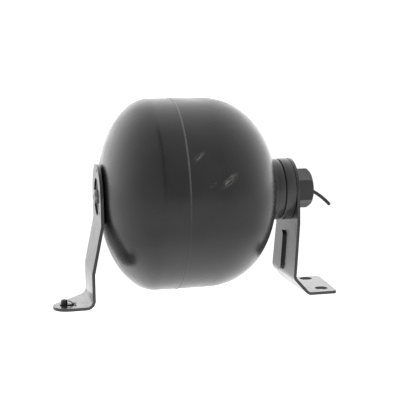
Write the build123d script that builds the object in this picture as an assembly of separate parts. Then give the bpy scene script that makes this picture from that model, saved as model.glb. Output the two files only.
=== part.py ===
from build123d import *
import math
import os

# Diaphragm-type hydraulic reservoir: a gas half and a fluid half welded at a seam, a rubber
# diaphragm between them, a gas charging screw at one pole, a screwed hydraulic port at the
# other, and a sheet-steel foot bracket at each end.
#
# Frame: millimetres, +Z up, +X from the gas end to the port. The origin is on the surface
# that the feet stand on, midway between the tips of the two feet. Everything is first built
# about the vessel's own axis (x = 0 at the seam, z = 0 on the axis) and moved on export.

os.makedirs("parts", exist_ok=True)

# ---- driving dimensions ----
VESSEL_R = 94.2             # outer radius of the vessel
WALL = 4.0                  # thickness of the pressed shells
GAS_TANGENT_X = -20.5       # where the gas end starts to curve in
GAS_DEPTH = 51.0            # axial depth of the gas end
GAS_POWER = 1.98            # superellipse power: 2 is a plain ellipse
FLUID_TANGENT_X = 30.5
FLUID_DEPTH = 72.5
FLUID_POWER = 2.15          # over 2 is slightly full
AXIS_HEIGHT = 104.6         # vessel axis above the floor
SHEET = 3.0                 # thickness of both brackets
GAP = 0.3                   # between curved faces of pieces that move apart

LEFT_TIP_X = -120.0         # ends of the two feet
RIGHT_TIP_X = 170.0
CUT = 10.0                  # how far a cutting tool runs past what it cuts

# ---- seam ----
SEAM_HALF = 0.8             # half width of the weld
SEAM_CROWN = 0.35           # how far the bead stands proud

# ---- gas end ----
BOSS_R = 17.6
BOSS_LENGTH = 13.0
BOSS_PROUD = 0.4
SCREW_HEAD_R = 6.7
SCREW_HEAD = 3.6
SCREW_EDGE = 0.6            # chamfer of the head
SCREW_SHANK_R = 4.0
SCREW_SOCKET_AF = 5.0
SCREW_SOCKET_DEPTH = 2.0
SCREW_SEAL = 1.0

# ---- left bracket ----
LEFT_DISC_R = 32.0
LEFT_HOLE_R = 18.3
LEFT_HALF_WIDTH = 32.0
LEFT_FACE_X = -73.5         # outer face of the flat disc, whose hole seats on the gas end
LEFT_JOG_TOP_Z = -24.5     # where the strap starts to slant outwards
LEFT_JOG_LOW_X = -83.3
LEFT_JOG_LOW_Z = -70.5
LEFT_BEND_R = 6.0
LEFT_TIP_R = 15.0
LEFT_UPRIGHT_DEPTH = 50.0   # how far inwards the bracket's outline keeps its full width
LEFT_PILOT_R = 1.9          # the two small drain holes in the disc
LEFT_PILOTS = ((-8, 26), (-20, -13.5))
LEFT_NUT_X = -109.0         # clip nut on the foot
LEFT_NUT_Y = -15.0
LEFT_NUT_CLEARANCE_R = 1.7

# ---- clip nut (M3) ----
CLIP_PLATE = 0.8
CLIP_PLATE_LENGTH = 13.5
CLIP_PLATE_WIDTH = 7.5
CLIP_PLATE_CORNER = 2.5
CLIP_PLATE_OFFSET = 2.4     # from the nut's axis to the middle of the plate
NUT_AF = 5.5
NUT_CORNER = 0.4            # how far the rounded corners stand out past the flats
NUT_HEIGHT = 4.2
NUT_CHAMFER = 0.8
NUT_THREAD_R = 1.25
CLIP_LEAF = 0.7
CLIP_LEAF_WIDTH = 4.5
CLIP_LEAF_HEIGHT = 3.4
CLIP_LEAF_REACH = 8.0

# ---- port end ----
NECK_HOLE_R = 20.0          # hole in the fluid half
NECK_INNER_X = 98.0
NECK_WELD_R = 32.0
NECK_FLANGE_X = 103.2
NECK_FLANGE_R = 31.0
NECK_EDGE = 0.8             # chamfer of its rims
GASKET_X = 110.2
GASKET = 1.0
GASKET_R = 29.8
SPACER_R = 31.2
SPACER_EDGE = 0.7
BRACKET_X = 121.5           # vessel side of the right bracket
SPIGOT_R = 12.5             # threaded spigot of the neck
SPIGOT_END_X = 141.0
WASHER_R = 19.2
WASHER = 1.2
NUT_END_X = 144.0
PORT_NUT_AF = 35.0
PORT_NUT_CHAMFER = 1.9
FITTING_R = 9.5             # screwed insert that carries the port
PORT_R = 6.5                # port bore
FITTING_SEAL = 1.6
FITTING_SEAL_X = 130.0

# ---- right bracket ----
RIGHT_TOP_R = 31.5
RIGHT_NEAR_Y = -33.5        # edges of the upright at its foot
RIGHT_FAR_Y = 36.5
RIGHT_LEAN_TOP_Z = -31.5
RIGHT_LEAN = 4.2            # how far the upright leans in at the knee
RIGHT_KNEE_Z = -86.0
RIGHT_KNEE_RUN = 14.0
RIGHT_END_SKEW = 6.5        # the near end of the foot is this much shorter
RIGHT_BEND_R = 5.0
RIGHT_CORNER_R = 4.0
RIGHT_HOLE_R = 6.5
RIGHT_HOLE_X = 152.0
RIGHT_HOLE_Y = 4.5          # middle of the pair of holes
RIGHT_HOLE_SPACING = 46.0
BEAD_HALF_WIDTH = 5.5
BEAD_DEPTH = 2.6
BEAD_SIDE = 2.2             # thickness of its side walls
BEAD_Y = 8.0
BEAD_TOP_Z = -43.5
BEAD_LOW_Z = -85.0

# ---- diaphragm and button ----
DIAPHRAGM = 3.0
DIAPHRAGM_RIM_X = -4.0
DIAPHRAGM_HOLE_R = 8.0
CLAMP_RING = 6.0
CLAMP_RING_INNER_R = 80.0
BUTTON_R = 16.0
BUTTON = 4.0
BUTTON_STEM_R = 6.0
RETAINER_R = 14.0
RETAINER = 3.0
RETAINER_GAP = 1.2          # the diaphragm curves away under the retainer's rim

# ---- transport plug ----
PLUG_CLEARANCE = 0.05
PLUG_LENGTH = 22.0
PLUG_NOSE = 2.0             # chamfer of the inner end
PLUG_NECK = 0.5             # how much slimmer the bung is under its head
PLUG_HEAD_R = 9.0
PLUG_HEAD = 1.6
TAIL_R = 1.75
TAIL_REACH = 26.0
TAIL_DROP = 17.6
TAIL_BOW_X = 14.5            # a point halfway along its curve
TAIL_BOW_DROP = 7.6

# ---- places that follow from them, measured from the seam and the axis ----
FLOOR_Z = -AXIS_HEIGHT
MIDDLE_X = (LEFT_TIP_X + RIGHT_TIP_X) / 2
GAS_POLE_X = GAS_TANGENT_X - GAS_DEPTH
FLUID_POLE_X = FLUID_TANGENT_X + FLUID_DEPTH
DIAPHRAGM_OUT_X = FLUID_POLE_X - WALL - GAP
RETAINER_X = DIAPHRAGM_OUT_X - DIAPHRAGM - RETAINER_GAP
BUTTON_FACE_X = NECK_INNER_X + BUTTON
FITTING_X = BUTTON_FACE_X + GAP
SPACER_X = GASKET_X + GASKET
WASHER_X = BRACKET_X + SHEET
PORT_NUT_X = WASHER_X + WASHER
FOOT_TOP_Z = FLOOR_Z + SHEET
CLIP_TOP_Z = FOOT_TOP_Z + CLIP_PLATE
PLUG_R = PORT_R - PLUG_CLEARANCE


def save(name, solid):
    """Write one piece, moved from the vessel's axis to the part's own origin."""
    moved = Pos(-MIDDLE_X, 0, AXIS_HEIGHT) * solid
    moved.label = name
    export_step(moved, f"parts/{name}.step")


def round_bar(x0, x1, radius):
    """A bar along the vessel's axis."""
    return Pos((x0 + x1) / 2, 0, 0) * Rot(0, 90, 0) * Cylinder(radius, x1 - x0)


def ring(x0, x1, outer, inner):
    """A plain ring about the vessel's axis."""
    return round_bar(x0, x1, outer) - round_bar(x0 - 1, x1 + 1, inner)


def hex_bar(x0, x1, across_flats):
    """A hexagonal bar about the vessel's axis, one flat facing -Y."""
    outline = RegularPolygon(across_flats / 2, 6, major_radius=False, rotation=30)
    start = Plane(origin=(x0, 0, 0), x_dir=(0, 1, 0), z_dir=(1, 0, 0))
    return extrude(start * outline, x1 - x0)


def turned(points):
    """A solid of revolution from its (x, radius) outline."""
    outline = make_face(Polyline(*[(x, 0, r) for x, r in points], close=True))
    return revolve(outline, Axis.X)


def dome(start_x, tangent_x, radius, depth, power):
    """A cylinder from start_x to tangent_x that ends in a superellipse of the given depth."""
    steps = 14
    way = math.copysign(1, depth)
    curve = []
    for i in range(steps + 1):
        angle = math.pi / 2 * i / steps
        along = math.sin(angle) ** (2 / power)
        out = math.cos(angle) ** (2 / power) if i < steps else 0
        curve.append((tangent_x + depth * along, 0, radius * out))
    end = Spline(*curve, tangents=[(way, 0, 0), (0, 0, -1)])
    sides = Polyline((tangent_x, 0, radius), (start_x, 0, radius), (start_x, 0, 0))
    axis = Line((start_x, 0, 0), (tangent_x + depth, 0, 0))
    return revolve(make_face(Curve() + [end, sides, axis]), Axis.X)


def gas_dome(start_x, grow):
    return dome(start_x, GAS_TANGENT_X, VESSEL_R + grow, -(GAS_DEPTH + grow), GAS_POWER)


def fluid_dome(start_x, grow):
    return dome(start_x, FLUID_TANGENT_X, VESSEL_R + grow, FLUID_DEPTH + grow, FLUID_POWER)


def bent_sheet(face, bend_radius, half_width, side, thickness=SHEET):
    """A bent strip: one face through (x, z) points, its thickness to one side of them."""
    line = FilletPolyline(*face, radius=bend_radius)
    section = offset(line, amount=thickness, side=side, closed=True)
    across = Plane(origin=(0, half_width, 0), x_dir=(1, 0, 0), z_dir=(0, -1, 0))
    return extrude(across * make_face(section), 2 * half_width)


# ---- the vessel ----
def make_gas_side_shell():
    shell = gas_dome(-SEAM_HALF, 0) - gas_dome(1, -WALL)
    return shell - round_bar(GAS_POLE_X - CUT, GAS_TANGENT_X, BOSS_R)


def make_fluid_side_shell():
    shell = fluid_dome(SEAM_HALF, 0) - fluid_dome(-1, -WALL)
    return shell - round_bar(FLUID_TANGENT_X, FLUID_POLE_X + CUT, NECK_HOLE_R)


def make_seam_weld():
    crown = VESSEL_R + SEAM_CROWN
    half = SEAM_HALF
    root = VESSEL_R - WALL
    outline = [(-half, root), (-half, VESSEL_R), (0, crown), (half, VESSEL_R), (half, root)]
    return turned(outline)


# ---- the diaphragm and what clamps it ----
def make_diaphragm():
    outside = fluid_dome(DIAPHRAGM_RIM_X, -WALL - GAP)
    inside = fluid_dome(DIAPHRAGM_RIM_X - 1, -WALL - GAP - DIAPHRAGM)
    return outside - inside - round_bar(0, FLUID_POLE_X, DIAPHRAGM_HOLE_R)


def make_clamp_ring():
    outer = VESSEL_R - WALL
    return ring(DIAPHRAGM_RIM_X - CLAMP_RING, DIAPHRAGM_RIM_X, outer, CLAMP_RING_INNER_R)


def make_diaphragm_button():
    """The steel button on the fluid side, which closes the port, with its threaded stem."""
    face = round_bar(DIAPHRAGM_OUT_X + GAP, BUTTON_FACE_X, BUTTON_R)
    stem = round_bar(RETAINER_X - RETAINER, DIAPHRAGM_OUT_X + GAP, BUTTON_STEM_R)
    return face + stem


def make_button_retainer():
    return ring(RETAINER_X - RETAINER, RETAINER_X, RETAINER_R, BUTTON_STEM_R)


# ---- the gas end ----
def make_charging_boss():
    outer_x = GAS_POLE_X - BOSS_PROUD
    return ring(outer_x, outer_x + BOSS_LENGTH, BOSS_R, SCREW_SHANK_R)


def make_charging_screw_seal():
    x1 = GAS_POLE_X - BOSS_PROUD
    return ring(x1 - SCREW_SEAL, x1, SCREW_HEAD_R, SCREW_SHANK_R)


def make_charging_screw():
    seat_x = GAS_POLE_X - BOSS_PROUD - SCREW_SEAL
    face_x = seat_x - SCREW_HEAD
    head = turned([
        (seat_x, 0),
        (seat_x, SCREW_HEAD_R),
        (face_x + SCREW_EDGE, SCREW_HEAD_R),
        (face_x, SCREW_HEAD_R - SCREW_EDGE),
        (face_x, 0),
    ])
    shank = round_bar(seat_x, seat_x + BOSS_LENGTH, SCREW_SHANK_R)
    socket = hex_bar(face_x, face_x + SCREW_SOCKET_DEPTH, SCREW_SOCKET_AF)
    return head + shank - socket


# ---- the left bracket ----
def make_left_bracket():
    """A flat disc and strap against the vessel, then a jog outwards and a pointed foot."""
    sheet = bent_sheet(
        [
            (LEFT_FACE_X, LEFT_DISC_R + CUT),
            (LEFT_FACE_X, LEFT_JOG_TOP_Z),
            (LEFT_JOG_LOW_X, LEFT_JOG_LOW_Z),
            (LEFT_JOG_LOW_X, FOOT_TOP_Z),
            (LEFT_TIP_X - CUT, FOOT_TOP_Z),
        ],
        LEFT_BEND_R,
        LEFT_HALF_WIDTH,
        Side.LEFT,
    )
    start_x = LEFT_TIP_X - CUT
    facing = Plane(origin=(start_x, 0, 0), x_dir=(0, 1, 0), z_dir=(1, 0, 0))
    front = Pos(0, FLOOR_Z / 2) * Rectangle(2 * LEFT_HALF_WIDTH, AXIS_HEIGHT)
    front = Circle(LEFT_DISC_R) + front
    sheet = sheet & extrude(facing * front, -start_x)
    tip = Pos(LEFT_TIP_X + LEFT_TIP_R, LEFT_TIP_R - LEFT_HALF_WIDTH) * Circle(LEFT_TIP_R)
    upright = Rectangle(LEFT_UPRIGHT_DEPTH, 2 * LEFT_HALF_WIDTH)
    upright = Pos(LEFT_JOG_LOW_X + LEFT_UPRIGHT_DEPTH / 2, 0) * upright
    plan = make_hull(tip.edges() + upright.edges())
    sheet = sheet & Pos(0, 0, FLOOR_Z) * extrude(plan, 2 * AXIS_HEIGHT)
    sheet = sheet - round_bar(LEFT_FACE_X - CUT, LEFT_FACE_X + CUT, LEFT_HOLE_R)
    for y, z in LEFT_PILOTS:
        pilot = round_bar(LEFT_FACE_X - CUT, LEFT_FACE_X + CUT, LEFT_PILOT_R)
        sheet = sheet - Pos(0, y, z) * pilot
    foot_hole = Pos(LEFT_NUT_X, LEFT_NUT_Y, FLOOR_Z) * Cylinder(LEFT_NUT_CLEARANCE_R, 2 * CUT)
    return sheet - foot_hole


# ---- the clip nut on the left foot ----
def make_clip_plate():
    plate = Box(CLIP_PLATE_LENGTH, CLIP_PLATE_WIDTH, CLIP_PLATE)
    plate = fillet(plate.edges().filter_by(Axis.Z), CLIP_PLATE_CORNER)
    plate = Pos(LEFT_NUT_X + CLIP_PLATE_OFFSET, LEFT_NUT_Y, CLIP_TOP_Z - CLIP_PLATE / 2) * plate
    return plate - Pos(LEFT_NUT_X, LEFT_NUT_Y, CLIP_TOP_Z) * Cylinder(LEFT_NUT_CLEARANCE_R, CUT)


def make_clip_nut():
    outline = RegularPolygon(NUT_AF / 2, 6, major_radius=False)
    nut = extrude(outline, NUT_HEIGHT)
    rounding = Pos(0, 0, NUT_HEIGHT / 2) * Cylinder(NUT_AF / 2 + NUT_CORNER, NUT_HEIGHT)
    nut = nut & chamfer(rounding.edges().sort_by(Axis.Z)[-1], NUT_CHAMFER)
    nut = nut - Cylinder(NUT_THREAD_R, 2 * CUT)
    return Pos(LEFT_NUT_X, LEFT_NUT_Y, CLIP_TOP_Z) * nut


def make_clip_leaf():
    """The spring leaf that rises from the plate's inner end to the top of the nut."""
    low_x = LEFT_NUT_X + NUT_AF / 2 + NUT_CORNER + GAP + CLIP_LEAF_REACH
    leaf = bent_sheet(
        [
            (low_x, CLIP_TOP_Z),
            (low_x - 0.38 * CLIP_LEAF_REACH, CLIP_TOP_Z),
            (low_x - 0.7 * CLIP_LEAF_REACH, CLIP_TOP_Z + 0.55 * CLIP_LEAF_HEIGHT),
            (low_x - CLIP_LEAF_REACH, CLIP_TOP_Z + CLIP_LEAF_HEIGHT - CLIP_LEAF),
        ],
        CLIP_LEAF,
        CLIP_LEAF_WIDTH / 2,
        Side.RIGHT,
        CLIP_LEAF,
    )
    return Pos(0, LEFT_NUT_Y, 0) * leaf


# ---- the port end ----
def make_neck_weld():
    weld = ring(NECK_INNER_X, NECK_FLANGE_X, NECK_WELD_R, NECK_HOLE_R)
    return weld - fluid_dome(0, 0)


def make_port_neck():
    neck = turned([
        (FITTING_X, 0),
        (FITTING_X, NECK_HOLE_R),
        (NECK_FLANGE_X, NECK_HOLE_R),
        (NECK_FLANGE_X, NECK_FLANGE_R - NECK_EDGE),
        (NECK_FLANGE_X + NECK_EDGE, NECK_FLANGE_R),
        (GASKET_X - NECK_EDGE, NECK_FLANGE_R),
        (GASKET_X, NECK_FLANGE_R - NECK_EDGE),
        (GASKET_X, SPIGOT_R),
        (SPIGOT_END_X, SPIGOT_R),
        (SPIGOT_END_X, 0),
    ])
    return neck - round_bar(FITTING_X - CUT, SPIGOT_END_X + CUT, FITTING_R)


def make_neck_gasket():
    return ring(GASKET_X, SPACER_X, GASKET_R, SPIGOT_R)


def make_spacer_ring():
    return turned([
        (SPACER_X, SPIGOT_R),
        (SPACER_X, SPACER_R - SPACER_EDGE),
        (SPACER_X + SPACER_EDGE, SPACER_R),
        (BRACKET_X - SPACER_EDGE, SPACER_R),
        (BRACKET_X, SPACER_R - SPACER_EDGE),
        (BRACKET_X, SPIGOT_R),
    ])


def make_bracket_washer():
    return ring(WASHER_X, PORT_NUT_X, WASHER_R, SPIGOT_R)


def make_port_nut():
    corner_r = PORT_NUT_AF / math.sqrt(3)
    nut = hex_bar(PORT_NUT_X, NUT_END_X, PORT_NUT_AF)
    rounding = turned([
        (PORT_NUT_X, 0),
        (PORT_NUT_X, corner_r),
        (NUT_END_X - PORT_NUT_CHAMFER, corner_r),
        (NUT_END_X, corner_r - 1.4 * PORT_NUT_CHAMFER),
        (NUT_END_X, 0),
    ])
    return (nut & rounding) - round_bar(PORT_NUT_X - CUT, NUT_END_X + CUT, SPIGOT_R)


def make_port_fitting():
    return ring(FITTING_X, SPIGOT_END_X, FITTING_R, PORT_R) - make_fitting_seal()


def make_fitting_seal():
    x0 = FITTING_SEAL_X
    return ring(x0, x0 + FITTING_SEAL, FITTING_R, FITTING_R - FITTING_SEAL)


def make_port_plug():
    """The transport plug: a tapered-nose rubber bung with a short bent pull tail."""
    seat_x = SPIGOT_END_X
    shank = round_bar(seat_x - PLUG_LENGTH, seat_x, PLUG_R)
    shank = chamfer(shank.edges().sort_by(Axis.X)[0], PLUG_NOSE)
    head = round_bar(seat_x + PLUG_CLEARANCE, seat_x + PLUG_HEAD, PLUG_HEAD_R)
    bridge = round_bar(seat_x - PLUG_HEAD, seat_x + PLUG_HEAD, PLUG_R - PLUG_NECK)
    root = (seat_x + PLUG_HEAD / 2, 0, 0)
    end = (seat_x + TAIL_REACH, 0, -TAIL_DROP)
    line = ThreePointArc(root, (seat_x + TAIL_BOW_X, 0, -TAIL_BOW_DROP), end)
    tail = sweep(Plane(origin=root, z_dir=line % 0) * Circle(TAIL_R), path=line)
    tip = Pos(*end) * Sphere(TAIL_R)
    return shank + bridge + head + tail + tip


# ---- the right bracket ----
def make_right_bracket():
    """A round-topped plate that leans in to a knee, and a foot with two bolt holes."""
    outer_x = WASHER_X
    knee_x = outer_x - RIGHT_LEAN
    half_width = max(-RIGHT_NEAR_Y, RIGHT_FAR_Y)
    sheet = bent_sheet(
        [
            (outer_x, RIGHT_TOP_R + CUT),
            (outer_x, RIGHT_LEAN_TOP_Z),
            (knee_x, RIGHT_KNEE_Z),
            (knee_x + RIGHT_KNEE_RUN, FOOT_TOP_Z),
            (RIGHT_TIP_X, FOOT_TOP_Z),
        ],
        RIGHT_BEND_R,
        half_width,
        Side.RIGHT,
    )
    start_x = knee_x - CUT
    facing = Plane(origin=(start_x, 0, 0), x_dir=(0, 1, 0), z_dir=(1, 0, 0))
    low = Pos((RIGHT_NEAR_Y + RIGHT_FAR_Y) / 2, (FLOOR_Z + RIGHT_KNEE_Z) / 2)
    low = low * Rectangle(RIGHT_FAR_Y - RIGHT_NEAR_Y, RIGHT_KNEE_Z - FLOOR_Z + CUT)
    front = make_hull(Circle(RIGHT_TOP_R).edges() + low.edges())
    sheet = sheet & extrude(facing * front, RIGHT_TIP_X - start_x)
    plan = make_face(Polyline(
        (start_x, RIGHT_NEAR_Y),
        (RIGHT_TIP_X - RIGHT_END_SKEW, RIGHT_NEAR_Y),
        (RIGHT_TIP_X, RIGHT_FAR_Y),
        (start_x, RIGHT_FAR_Y),
        close=True,
    ))
    plan = fillet(plan.vertices().sort_by(Axis.X)[-2:], RIGHT_CORNER_R)
    sheet = sheet & Pos(0, 0, FLOOR_Z) * extrude(plan, 2 * AXIS_HEIGHT)
    sheet = sheet + bead_bar(knee_x - SHEET, BEAD_HALF_WIDTH)
    sheet = sheet - bead_bar(knee_x, BEAD_HALF_WIDTH - BEAD_SIDE)
    for side in (-1, 1):
        y = RIGHT_HOLE_Y + side * RIGHT_HOLE_SPACING / 2
        sheet = sheet - Pos(RIGHT_HOLE_X, y, FLOOR_Z) * Cylinder(RIGHT_HOLE_R, 2 * CUT)
    return sheet - round_bar(BRACKET_X - CUT, WASHER_X + CUT, SPIGOT_R)


def bead_bar(face_x, half_width):
    """A round-ended bar on the leaning upright, standing BEAD_DEPTH proud towards the vessel."""
    lean = math.degrees(math.atan2(RIGHT_LEAN, RIGHT_LEAN_TOP_Z - RIGHT_KNEE_Z))
    ends = BEAD_HALF_WIDTH - half_width
    bar = SlotOverall(BEAD_TOP_Z - BEAD_LOW_Z - 2 * ends, 2 * half_width)
    bar = extrude(bar, BEAD_DEPTH)
    middle_z = (BEAD_TOP_Z + BEAD_LOW_Z) / 2
    middle_x = face_x + RIGHT_LEAN * (middle_z - RIGHT_KNEE_Z) / (RIGHT_LEAN_TOP_Z - RIGHT_KNEE_Z)
    return Pos(middle_x, BEAD_Y, middle_z) * Rot(0, lean - 90, 0) * bar


PIECES = {
    "gas_side_shell": make_gas_side_shell,
    "fluid_side_shell": make_fluid_side_shell,
    "seam_weld": make_seam_weld,
    "diaphragm": make_diaphragm,
    "diaphragm_clamp_ring": make_clamp_ring,
    "diaphragm_button": make_diaphragm_button,
    "button_retainer": make_button_retainer,
    "charging_boss": make_charging_boss,
    "charging_screw_seal": make_charging_screw_seal,
    "charging_screw": make_charging_screw,
    "left_bracket": make_left_bracket,
    "clip_plate": make_clip_plate,
    "clip_nut": make_clip_nut,
    "clip_leaf": make_clip_leaf,
    "neck_weld": make_neck_weld,
    "port_neck": make_port_neck,
    "neck_gasket": make_neck_gasket,
    "spacer_ring": make_spacer_ring,
    "right_bracket": make_right_bracket,
    "bracket_washer": make_bracket_washer,
    "port_nut": make_port_nut,
    "port_fitting": make_port_fitting,
    "port_fitting_seal": make_fitting_seal,
    "port_plug": make_port_plug,
}

for piece_name, make in PIECES.items():
    save(piece_name, make())
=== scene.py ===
import math

import bmesh
import bpy
from mathutils import Matrix, Vector


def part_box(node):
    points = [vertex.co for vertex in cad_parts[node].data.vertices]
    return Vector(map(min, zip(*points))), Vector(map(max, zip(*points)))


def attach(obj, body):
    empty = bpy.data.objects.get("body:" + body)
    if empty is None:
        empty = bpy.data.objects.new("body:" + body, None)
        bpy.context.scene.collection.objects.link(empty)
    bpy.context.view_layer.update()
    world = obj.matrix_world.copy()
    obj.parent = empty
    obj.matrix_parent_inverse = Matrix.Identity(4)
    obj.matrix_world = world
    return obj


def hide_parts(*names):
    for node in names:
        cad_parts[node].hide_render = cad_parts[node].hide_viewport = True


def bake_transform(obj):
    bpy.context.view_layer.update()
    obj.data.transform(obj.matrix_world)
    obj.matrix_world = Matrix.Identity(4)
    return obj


# Looks for the hydraulic reservoir. Metres throughout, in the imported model's frame:
# +X from the gas end to the port, +Z up, origin on the floor midway between the feet.

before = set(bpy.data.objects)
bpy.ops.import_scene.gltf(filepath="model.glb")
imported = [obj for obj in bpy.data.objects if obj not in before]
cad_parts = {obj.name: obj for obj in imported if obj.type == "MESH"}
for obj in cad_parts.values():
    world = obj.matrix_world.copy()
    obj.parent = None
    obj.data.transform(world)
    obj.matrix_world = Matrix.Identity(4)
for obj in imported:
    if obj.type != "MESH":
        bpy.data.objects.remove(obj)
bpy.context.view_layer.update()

MM = 0.001
BODY = "reservoir"

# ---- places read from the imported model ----
SEAM_LOW, SEAM_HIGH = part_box("seam_weld")
SEAM_X = (SEAM_LOW.x + SEAM_HIGH.x) / 2
AXIS_Z = (SEAM_LOW.z + SEAM_HIGH.z) / 2
GAS_RIM_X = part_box("gas_side_shell")[1].x
FLUID_RIM_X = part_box("fluid_side_shell")[0].x
BOSS_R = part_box("charging_boss")[1].y

# ---- the model's own sizes ----
VESSEL_R = 94.2 * MM
WALL = 4 * MM
GAS_TANGENT_X = SEAM_X - 20.5 * MM      # where the straight side meets each end
FLUID_TANGENT_X = SEAM_X + 30.5 * MM
GAS_DEPTH = 51 * MM                     # from the tangent line to the pole
FLUID_DEPTH = 72.5 * MM
GAS_POWER = 1.98                        # superellipse exponents of the two ends
FLUID_POWER = 2.15
NECK_HOLE_R = 20 * MM
FLANGE_X = SEAM_X + 103.2 * MM          # where the neck widens into its flange
SPIGOT_R = 12.5 * MM

# ---- fineness of the turned pieces ----
ROUND_STEPS = 256                       # facets round the vessel
RING_STEPS = 160                        # facets round the port's rings
DIAPHRAGM_STEPS = 128                   # facets round the diaphragm
DOME_STEPS = 48                         # facets from a tangent line to its pole
BEAD_STEPS = 8                          # facets across the seam weld's crown


# ---- mesh helpers ----
def new_object(name, data):
    piece = bpy.data.objects.new(name, data)
    bpy.context.scene.collection.objects.link(piece)
    return piece


def shade(mesh, sharp_degrees=35):
    """Smooth shading, with edges sharper than the given angle left crisp."""
    mesh.polygons.foreach_set("use_smooth", [True] * len(mesh.polygons))
    mesh.set_sharp_from_angle(angle=math.radians(sharp_degrees))


def lathe(name, outline, steps=ROUND_STEPS):
    """A closed ring-shaped solid: its (x, radius) outline turned about the vessel's axis."""
    bm = bmesh.new()
    rows = []
    for i in range(steps):
        angle = 2 * math.pi * i / steps
        out = Vector((0, math.cos(angle), math.sin(angle)))
        centre = Vector((0, 0, AXIS_Z))
        rows.append([bm.verts.new(Vector((x, 0, 0)) + centre + out * r) for x, r in outline])
    count = len(outline)
    for i in range(steps):
        here, there = rows[i], rows[(i + 1) % steps]
        for j in range(count):
            k = (j + 1) % count
            bm.faces.new((here[j], here[k], there[k], there[j]))
    bmesh.ops.recalc_face_normals(bm, faces=bm.faces)
    mesh = bpy.data.meshes.new(name)
    bm.to_mesh(mesh)
    bm.free()
    shade(mesh)
    return new_object(name, mesh)


def rounded(outline, radius, steps=3):
    """The same closed outline with each corner rounded."""
    result = []
    count = len(outline)
    for i in range(count):
        here = Vector(outline[i])
        before = Vector(outline[i - 1]) - here
        after = Vector(outline[(i + 1) % count]) - here
        cut = min(radius, 0.45 * before.length, 0.45 * after.length)
        start = here + before.normalized() * cut
        end = here + after.normalized() * cut
        for s in range(steps + 1):
            t = s / steps
            point = start * (1 - t) ** 2 + here * 2 * t * (1 - t) + end * t ** 2
            result.append((point.x, point.y))
    return result


def ring_outline(x0, x1, outer, inner):
    return [(x0, inner), (x0, outer), (x1, outer), (x1, inner)]


def dome_outline(start_x, tangent_x, radius, depth, power, end_r):
    """Points from (start_x, radius) over a superellipse end of the given depth to end_r."""
    points = [(start_x, radius)]
    last = math.acos(min(1.0, (end_r / radius) ** (power / 2)))
    for i in range(DOME_STEPS + 1):
        angle = last * i / DOME_STEPS
        along = math.sin(angle) ** (2 / power)
        out = math.cos(angle) ** (2 / power)
        points.append((tangent_x + depth * along, radius * out))
    return points


def dome_shell(name, start_x, tangent_x, depth, power, hole_r):
    """One pressed half of the vessel, its outer and inner faces and its pole hole."""
    inward = math.copysign(WALL, depth)
    outside = dome_outline(start_x, tangent_x, VESSEL_R, depth, power, hole_r)
    inside = dome_outline(
        start_x, tangent_x, VESSEL_R - WALL, depth - inward, power, hole_r
    )
    return lathe(name, outside + inside[::-1])


def refined(node, bevel, sharp_degrees=30, segments=2):
    """A copy of a CAD node's mesh with its flat faces cleaned up and its sharp edges rounded."""
    same_point = 0.001 * MM
    flat_degrees = 0.4
    bm = bmesh.new()
    bm.from_mesh(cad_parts[node].data)
    bmesh.ops.remove_doubles(bm, verts=bm.verts, dist=same_point)
    bmesh.ops.dissolve_limit(
        bm, angle_limit=math.radians(flat_degrees), verts=bm.verts, edges=bm.edges
    )
    sharp = [
        e for e in bm.edges
        if len(e.link_faces) == 2 and e.calc_face_angle(0) > math.radians(sharp_degrees)
    ]
    bmesh.ops.bevel(
        bm, geom=sharp, offset=bevel, segments=segments, profile=0.5,
        affect="EDGES", clamp_overlap=True, harden_normals=False,
    )
    mesh = bpy.data.meshes.new(node)
    bm.to_mesh(mesh)
    bm.free()
    piece = new_object(node + "_finished", mesh)
    shade(mesh, sharp_degrees=40)
    weighted = piece.modifiers.new("weighted_normals", "WEIGHTED_NORMAL")
    weighted.keep_sharp = True
    return piece


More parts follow.
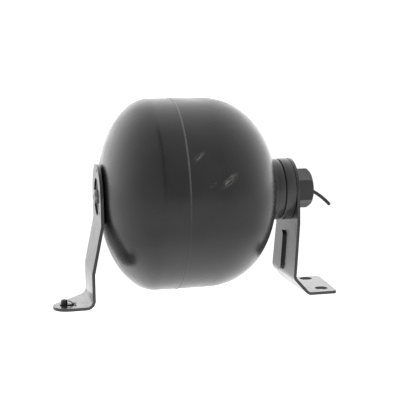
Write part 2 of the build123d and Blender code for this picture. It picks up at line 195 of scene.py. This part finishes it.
# ---- materials ----
class Nodes:
    """A short way to wire a node tree, with places taken from one texture coordinate."""

    def __init__(self, tree, coordinate="Object"):
        self.tree = tree
        self.place = tree.nodes.new("ShaderNodeTexCoord").outputs[coordinate]

    def link(self, value, socket):
        """Feed a socket from another node, or set it to a plain value."""
        if isinstance(value, bpy.types.NodeSocket):
            self.tree.links.new(value, socket)
        else:
            socket.default_value = value

    def node(self, kind, **inputs):
        made = self.tree.nodes.new(kind)
        for name, value in inputs.items():
            self.link(value, made.inputs[name.replace("_", " ")])
        return made

    def vector(self, operation, a, b=None, result="Vector"):
        made = self.tree.nodes.new("ShaderNodeVectorMath")
        made.operation = operation
        self.link(a, made.inputs[0])
        if b is not None:
            self.link(b, made.inputs[1])
        return made.outputs[result]

    def number(self, operation, *values):
        made = self.tree.nodes.new("ShaderNodeMath")
        made.operation = operation
        for socket, value in zip(made.inputs, values):
            self.link(value, socket)
        return made.outputs["Value"]

    def span(self, value, low, high, to_low=0.0, to_high=1.0):
        """A value from low to high turned smoothly into one from to_low to to_high."""
        made = self.node(
            "ShaderNodeMapRange",
            Value=value, From_Min=low, From_Max=high, To_Min=to_low, To_Max=to_high,
        )
        made.interpolation_type = "SMOOTHSTEP"
        return made.outputs["Result"]

    def noise(self, scale, detail=4.0, rough=0.5, place=None):
        made = self.node(
            "ShaderNodeTexNoise",
            Vector=place or self.place, Scale=scale, Detail=detail, Roughness=rough,
        )
        return made.outputs["Fac"]

    def mix(self, factor, a, b):
        made = self.tree.nodes.new("ShaderNodeMix")
        made.data_type = "RGBA"
        self.link(factor, made.inputs["Factor"])
        self.link(a, made.inputs["A"])
        self.link(b, made.inputs["B"])
        return made.outputs["Result"]

    def bump(self, height, distance):
        made = self.node("ShaderNodeBump", Strength=1.0, Distance=distance, Height=height)
        return made.outputs["Normal"]

    def turned(self, centre, angle):
        """The place, turned about a centre round the Y axis."""
        made = self.node(
            "ShaderNodeVectorRotate", Vector=self.place, Center=centre, Angle=angle
        )
        made.rotation_type = "Y_AXIS"
        return made.outputs["Vector"]

    def scaled(self, place, scale):
        return self.node("ShaderNodeMapping", Vector=place, Scale=scale).outputs["Vector"]

    def near(self, centre, reach, place=None):
        """1 at a place, falling to 0 at reach = (x, y, z) half sizes."""
        away = self.vector("SUBTRACT", place or self.place, centre)
        length = self.vector("LENGTH", self.vector("DIVIDE", away, reach), result="Value")
        return self.span(length, 1.0, 0.4)


class Finish(Nodes):
    """The node tree of one new material, with its shader."""

    def __init__(self, name):
        self.material = bpy.data.materials.new(name)
        self.material.use_nodes = True
        super().__init__(self.material.node_tree)
        self.shader = self.tree.nodes["Principled BSDF"]

    def set(self, **inputs):
        for name, value in inputs.items():
            self.link(value, self.shader.inputs[name.replace("_", " ")])


def grey(value, warm=0.0):
    return (value * (1 + warm), value, value * (1 - warm), 1.0)


def paint(name, dark, light, rough, coat=0.0, scuffs=(), peel=0.03 * MM, peel_scale=420):
    """Semi-gloss black paint: cloudy tone, orange peel, fine dust and a few scuffs."""
    m = Finish(name)
    cloud = m.span(m.noise(35, 5), 0.35, 0.7)
    tone = m.mix(cloud, grey(dark), grey(light))
    # fine dust specks on the paint
    dust_and_painted_light = m.span(m.noise(2600, 2, 0.7), 0.66, 0.8, 0.0, 0.35)
    tone = m.mix(dust_and_painted_light, tone, grey(light * 2.2, 0.03))
    for centre, reach, strength in scuffs:
        slanted = m.turned(centre, SCUFF_SLANT)
        streak = m.noise(1.0, 5, 0.65, m.scaled(slanted, SCUFF_STREAKS))
        mark = m.number("MULTIPLY", m.near(centre, reach, slanted), m.span(streak, 0.46, 0.6))
        tone = m.mix(m.number("MULTIPLY", mark, strength), tone, SCUFF_TONE)
    m.set(
        Base_Color=tone,
        Roughness=m.span(m.noise(60, 6), 0.3, 0.75, rough - 0.04, rough + 0.06),
        Normal=m.bump(m.noise(peel_scale, 3, 0.45), peel),
        Coat_Weight=coat,
        Coat_Roughness=0.18,
    )
    return m.material


def seam_paint(name, dark, top_lit_tone, rough):
    """The paint on the weld bead, with painted light from above on its upper part that thins out
    lower down.
    """
    m = Finish(name)
    height = m.node("ShaderNodeSeparateXYZ", Vector=m.place).outputs["Z"]
    # painted light from above: the bead's upper part is drawn in a lighter tone, fading out
    # lower down
    upper = m.span(height, TOP_LIGHT_LOW_Z, TOP_LIGHT_HIGH_Z)
    dust_and_painted_light = m.number("MULTIPLY", upper, m.span(m.noise(300, 4), 0.25, 0.6, 0.7, 1.0))
    m.set(
        Base_Color=m.mix(dust_and_painted_light, grey(dark), grey(top_lit_tone)),
        Roughness=m.span(m.noise(60, 4), 0.3, 0.7, rough - 0.04, rough + 0.06),
        Normal=m.bump(m.noise(900, 3), 0.03 * MM),
    )
    return m.material


def steel(name, base, rough):
    """Turned or plated steel with fine machining lines."""
    m = Finish(name)
    lines = m.noise(1.0, 4, 0.6, m.scaled(m.place, MACHINING_LINES))
    m.set(
        Base_Color=m.mix(m.span(lines, 0.3, 0.7), grey(base * 0.8), grey(base * 1.1, 0.01)),
        Roughness=m.span(lines, 0.3, 0.7, rough, rough + 0.12),
        Normal=m.bump(lines, 0.02 * MM),
        Metallic=1.0,
    )
    return m.material


def rubber(name, base, rough):
    """Moulded rubber: matt, with a faint bloom and a fine pebbled skin."""
    m = Finish(name)
    bloom = m.span(m.noise(160, 5), 0.4, 0.7)
    m.set(
        Base_Color=m.mix(bloom, grey(base), grey(base * 1.9, 0.02)),
        Roughness=m.span(m.noise(90, 4), 0.3, 0.7, rough - 0.08, rough + 0.06),
        Normal=m.bump(m.noise(1800, 3), 0.04 * MM),
    )
    return m.material


def dress(piece, material, body=BODY, stands_for=None):
    """Give a piece its material, its body and the CAD node that it stands for."""
    piece.data.materials.clear()
    piece.data.materials.append(material)
    if stands_for:
        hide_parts(stands_for)
        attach(piece, body)
    return piece


SCUFF_SLANT = math.radians(38)
SCUFF_STREAKS = (150, 150, 1300)        # noise scale of a scuff's streaks along x, y and z
SCUFF_TONE = grey(0.13, 0.03)
SCUFFS = (                              # centre, half sizes and strength of each
    ((-15.5 * MM, -84 * MM, 147 * MM), (10 * MM, 9 * MM, 2.8 * MM), 0.7),
    ((11.5 * MM, -91 * MM, 125.5 * MM), (13 * MM, 9 * MM, 4.2 * MM), 1.0),
    ((-3.5 * MM, -93 * MM, 123 * MM), (6 * MM, 9 * MM, 2.2 * MM), 0.6),
)
TOP_LIGHT_LOW_Z = AXIS_Z - 30 * MM           # no painted top light on the seam below, all of it above
TOP_LIGHT_HIGH_Z = AXIS_Z + 45 * MM
MACHINING_LINES = (30, 30, 2600)        # noise scale of the lines along x, y and z

VESSEL_PAINT = paint("vessel_paint", dark=0.008, light=0.013, rough=0.26, scuffs=SCUFFS)
# the lighter tone is the painted top light on the bead's upper part
SEAM_PAINT = seam_paint("seam_paint", dark=0.014, top_lit_tone=0.085, rough=0.3)
BOSS_PAINT = paint("boss_paint", dark=0.010, light=0.016, rough=0.6)
BRACKET_PAINT = paint("bracket_paint", dark=0.010, light=0.016, rough=0.24, coat=0.3)
FITTING_PAINT = paint(
    "fitting_paint", dark=0.022, light=0.046, rough=0.27, peel=0.05 * MM, peel_scale=900
)
NUT_FINISH = paint(
    "nut_finish", dark=0.014, light=0.024, rough=0.42, peel=0.08 * MM, peel_scale=1300
)
CLIP_STEEL = paint(
    "clip_steel", dark=0.006, light=0.012, rough=0.34, peel=0.04 * MM, peel_scale=1500
)
SCREW_STEEL = steel("screw_steel", base=0.5, rough=0.36)
BARE_STEEL = steel("bare_steel", base=0.42, rough=0.3)
SEAL_RUBBER = rubber("seal_rubber", base=0.010, rough=0.6)
DIAPHRAGM_RUBBER = rubber("diaphragm_rubber", base=0.014, rough=0.55)
PLUG_RUBBER = rubber("plug_rubber", base=0.016, rough=0.48)


# ---- the vessel ----
def build_vessel():
    """The two pressed halves and the raised seam weld between them."""
    gas = dome_shell(
        "gas_side_shell_turned", GAS_RIM_X, GAS_TANGENT_X, -GAS_DEPTH, GAS_POWER, BOSS_R
    )
    dress(gas, VESSEL_PAINT, stands_for="gas_side_shell")
    fluid = dome_shell(
        "fluid_side_shell_turned", FLUID_RIM_X, FLUID_TANGENT_X, FLUID_DEPTH, FLUID_POWER,
        NECK_HOLE_R,
    )
    dress(fluid, VESSEL_PAINT, stands_for="fluid_side_shell")
    half = SEAM_HIGH.x - SEAM_X
    height = SEAM_HIGH.z - AXIS_Z - VESSEL_R
    crown = []
    for i in range(BEAD_STEPS + 1):
        angle = math.pi * i / BEAD_STEPS
        crown.append((SEAM_X - half * math.cos(angle), VESSEL_R + height * math.sin(angle)))
    root_r = VESSEL_R - WALL
    seam = lathe("seam_bead", [(SEAM_X - half, root_r), *crown, (SEAM_X + half, root_r)])
    dress(seam, SEAM_PAINT, stands_for="seam_weld")


def turned_node(node, outer, inner, bevel, material):
    """A plain ring node remade with fine facets and rounded edges."""
    low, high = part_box(node)
    outline = rounded(ring_outline(low.x, high.x, outer, inner), bevel)
    piece = lathe(node + "_turned", outline, RING_STEPS)
    return dress(piece, material, stands_for=node)


def outer_radius(node):
    low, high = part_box(node)
    return (high.y - low.y) / 2


def build_port_end():
    """The neck with its rings, weld collar and nut."""
    for node, material, slot, bevel in (
        ("neck_gasket", SEAL_RUBBER, "seal_rubber", 0.2),
        ("spacer_ring", FITTING_PAINT, "fitting_paint", 0.8),
        ("bracket_washer", FITTING_PAINT, "fitting_paint", 0.25),
    ):
        turned_node(node, outer_radius(node), SPIGOT_R, bevel * MM, material)
    neck_low, neck_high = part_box("port_neck")
    gasket_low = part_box("neck_gasket")[0]
    flange_r = outer_radius("port_neck")
    insert_r = outer_radius("port_fitting")
    neck_outline = [
        (neck_low.x, insert_r),
        (neck_low.x, NECK_HOLE_R),
        (FLANGE_X, NECK_HOLE_R),
        (FLANGE_X, flange_r),
        (gasket_low.x, flange_r),
        (gasket_low.x, SPIGOT_R),
        (neck_high.x, SPIGOT_R),
        (neck_high.x, insert_r),
    ]
    neck = lathe("port_neck_turned", rounded(neck_outline, 0.8 * MM), RING_STEPS)
    dress(neck, FITTING_PAINT, stands_for="port_neck")
    collar = refined("neck_weld", 0.4 * MM)
    dress(collar, FITTING_PAINT, stands_for="neck_weld")
    nut = refined("port_nut", 0.5 * MM, segments=3)
    dress(nut, NUT_FINISH, stands_for="port_nut")


def build_brackets():
    for node in ("left_bracket", "right_bracket"):
        piece = refined(node, 0.45 * MM, segments=3)
        dress(piece, BRACKET_PAINT, stands_for=node)


def build_small_parts():
    for node, material, slot, bevel in (
        ("clip_plate", CLIP_STEEL, "clip_steel", 0.2),
        ("clip_nut", CLIP_STEEL, "clip_steel", 0.3),
        ("clip_leaf", CLIP_STEEL, "clip_steel", 0.15),
        ("charging_screw", SCREW_STEEL, "screw_steel", 0.15),
        ("charging_boss", BOSS_PAINT, "vessel_paint", 0.4),
    ):
        dress(refined(node, bevel * MM), material, stands_for=node)
    for node, material, slot in (
        ("charging_screw_seal", SEAL_RUBBER, "seal_rubber"),
        ("diaphragm_clamp_ring", BARE_STEEL, "bare_steel"),
        ("diaphragm_button", BARE_STEEL, "bare_steel"),
        ("button_retainer", BARE_STEEL, "bare_steel"),
        ("port_fitting", BARE_STEEL, "bare_steel"),
        ("port_fitting_seal", SEAL_RUBBER, "seal_rubber"),
    ):
        dress(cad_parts[node], material)


def build_diaphragm():
    """The rubber dome, turned to lie just inside the fluid-side shell."""
    low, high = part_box("diaphragm")
    gap = 0.3 * MM                      # between the rubber and the shell at rest
    thickness = 3 * MM
    hole_r = 8 * MM
    outside, inside = (
        dome_outline(
            low.x, FLUID_TANGENT_X, VESSEL_R - inset, FLUID_DEPTH - inset, FLUID_POWER, hole_r
        )
        for inset in (WALL + gap, WALL + gap + thickness)
    )
    piece = lathe("diaphragm_dome", outside + inside[::-1], DIAPHRAGM_STEPS)
    dress(piece, DIAPHRAGM_RUBBER)
    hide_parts("diaphragm")
    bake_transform(piece)


def build_plug():
    """The transport plug with its pull tail, edges rounded."""
    piece = refined("port_plug", 0.3 * MM, sharp_degrees=40)
    dress(piece, PLUG_RUBBER, body="port_plug", stands_for="port_plug")


# ---- studio ----
FLOOR_HALF = 3.0
FLOOR_Z = -0.2 * MM
FLOOR_GLOW = 1.0
FLOOR_HOT = 0.6                         # extra glow of the floor right under the part
FLOOR_HOT_REACH = 0.2
TENT_FRONT = 0.58                       # brightness of the tent on the viewer's side
TENT_SIDE = 1.0
TENT_BACK = 2.2
TENT_TOWARDS_BACK = (0.23, 0.97, 0.0)   # direction from its dim side to its bright side
SLIT_X = 0.03                           # the tent's dark front opening: middle and half width
SLIT_HALF = 0.085                       # of its sideways direction
SLIT_CORE = 0.4 * SLIT_HALF             # fully dark up to here
SLIT_SIDES_Y = 0.1                      # the opening fades out within this of sideways


def build_stage():
    """A glowing pale floor, on which the part throws almost no shadow."""
    mesh = bpy.data.meshes.new("floor")
    corners = [
        (x, y, FLOOR_Z) for x, y in (
            (-FLOOR_HALF, -FLOOR_HALF), (FLOOR_HALF, -FLOOR_HALF),
            (FLOOR_HALF, FLOOR_HALF), (-FLOOR_HALF, FLOOR_HALF),
        )
    ]
    mesh.from_pydata(corners, [], [(0, 1, 2, 3)])
    floor = new_object("floor", mesh)
    m = Finish("floor_acrylic")
    hot = m.near((0, 0, 0), (FLOOR_HOT_REACH, FLOOR_HOT_REACH, FLOOR_HOT_REACH))
    m.set(
        Base_Color=m.mix(m.noise(3.0, 2), grey(0.03), grey(0.05)),
        Roughness=0.9,
        Specular_IOR_Level=0.1,
        Emission_Color=(1, 1, 1, 1),
        Emission_Strength=m.number("MULTIPLY_ADD", hot, FLOOR_HOT, FLOOR_GLOW),
    )
    mesh.materials.append(m.material)


def build_lights():
    """A white light tent: bright behind, dimmer in front, with a narrow dark front opening."""
    world = bpy.data.worlds.new("tent")
    bpy.context.scene.world = world
    world.use_nodes = True
    tent = Nodes(world.node_tree, "Generated")
    ramp = tent.node("ShaderNodeValToRGB")
    ramp.color_ramp.interpolation = "B_SPLINE"
    stops = ramp.color_ramp.elements
    stops[0].position, stops[0].color = 0.0, grey(TENT_FRONT / TENT_BACK)
    stops[1].position, stops[1].color = 1.0, grey(1.0)
    stops.new(0.5).color = grey(TENT_SIDE / TENT_BACK)
    along = tent.vector("DOT_PRODUCT", tent.place, TENT_TOWARDS_BACK, result="Value")
    tent.link(tent.number("MULTIPLY_ADD", along, 0.5, 0.5), ramp.inputs["Fac"])
    direction = tent.node("ShaderNodeSeparateXYZ", Vector=tent.place).outputs
    off_slit = tent.number("ABSOLUTE", tent.number("SUBTRACT", direction["X"], SLIT_X))
    beside = tent.span(off_slit, SLIT_CORE, SLIT_HALF)
    behind = tent.span(direction["Y"], -SLIT_SIDES_Y, SLIT_SIDES_Y)
    lit = tent.number("MAXIMUM", beside, behind)
    background = tent.tree.nodes["Background"]
    tent.link(ramp.outputs["Color"], background.inputs["Color"])
    tent.link(tent.number("MULTIPLY", lit, TENT_BACK), background.inputs["Strength"])


CAMERA_AZIMUTH = math.radians(-13.2)
CAMERA_ELEVATION = math.radians(7.8)
CAMERA_DISTANCE = 0.9
CAMERA_ROLL = math.radians(0.7)
CAMERA_TARGET = Vector((SEAM_X + 30 * MM, 0, AXIS_Z - 7.8 * MM))
SENSOR = 36.0
FRAME_WIDTH = 0.4                       # metres across the view at the target


def build_camera():
    data = bpy.data.cameras.new("camera")
    data.sensor_width = SENSOR
    data.lens = SENSOR * CAMERA_DISTANCE / FRAME_WIDTH
    camera = new_object("camera", data)
    flat = math.cos(CAMERA_ELEVATION)
    back = Vector((
        math.sin(CAMERA_AZIMUTH) * flat,
        -math.cos(CAMERA_AZIMUTH) * flat,
        math.sin(CAMERA_ELEVATION),
    ))
    camera.location = CAMERA_TARGET + back * CAMERA_DISTANCE
    turn = (-back).to_track_quat("-Z", "Y").to_matrix()
    roll = Matrix.Rotation(-CAMERA_ROLL, 3, "Z")
    camera.rotation_mode = "QUATERNION"
    camera.rotation_quaternion = (turn @ roll).to_quaternion()
    bpy.context.scene.camera = camera
    bpy.context.scene.view_settings.view_transform = "Standard"


build_camera()
build_vessel()
build_port_end()
build_brackets()
build_small_parts()
build_diaphragm()
build_plug()
build_stage()
build_lights()
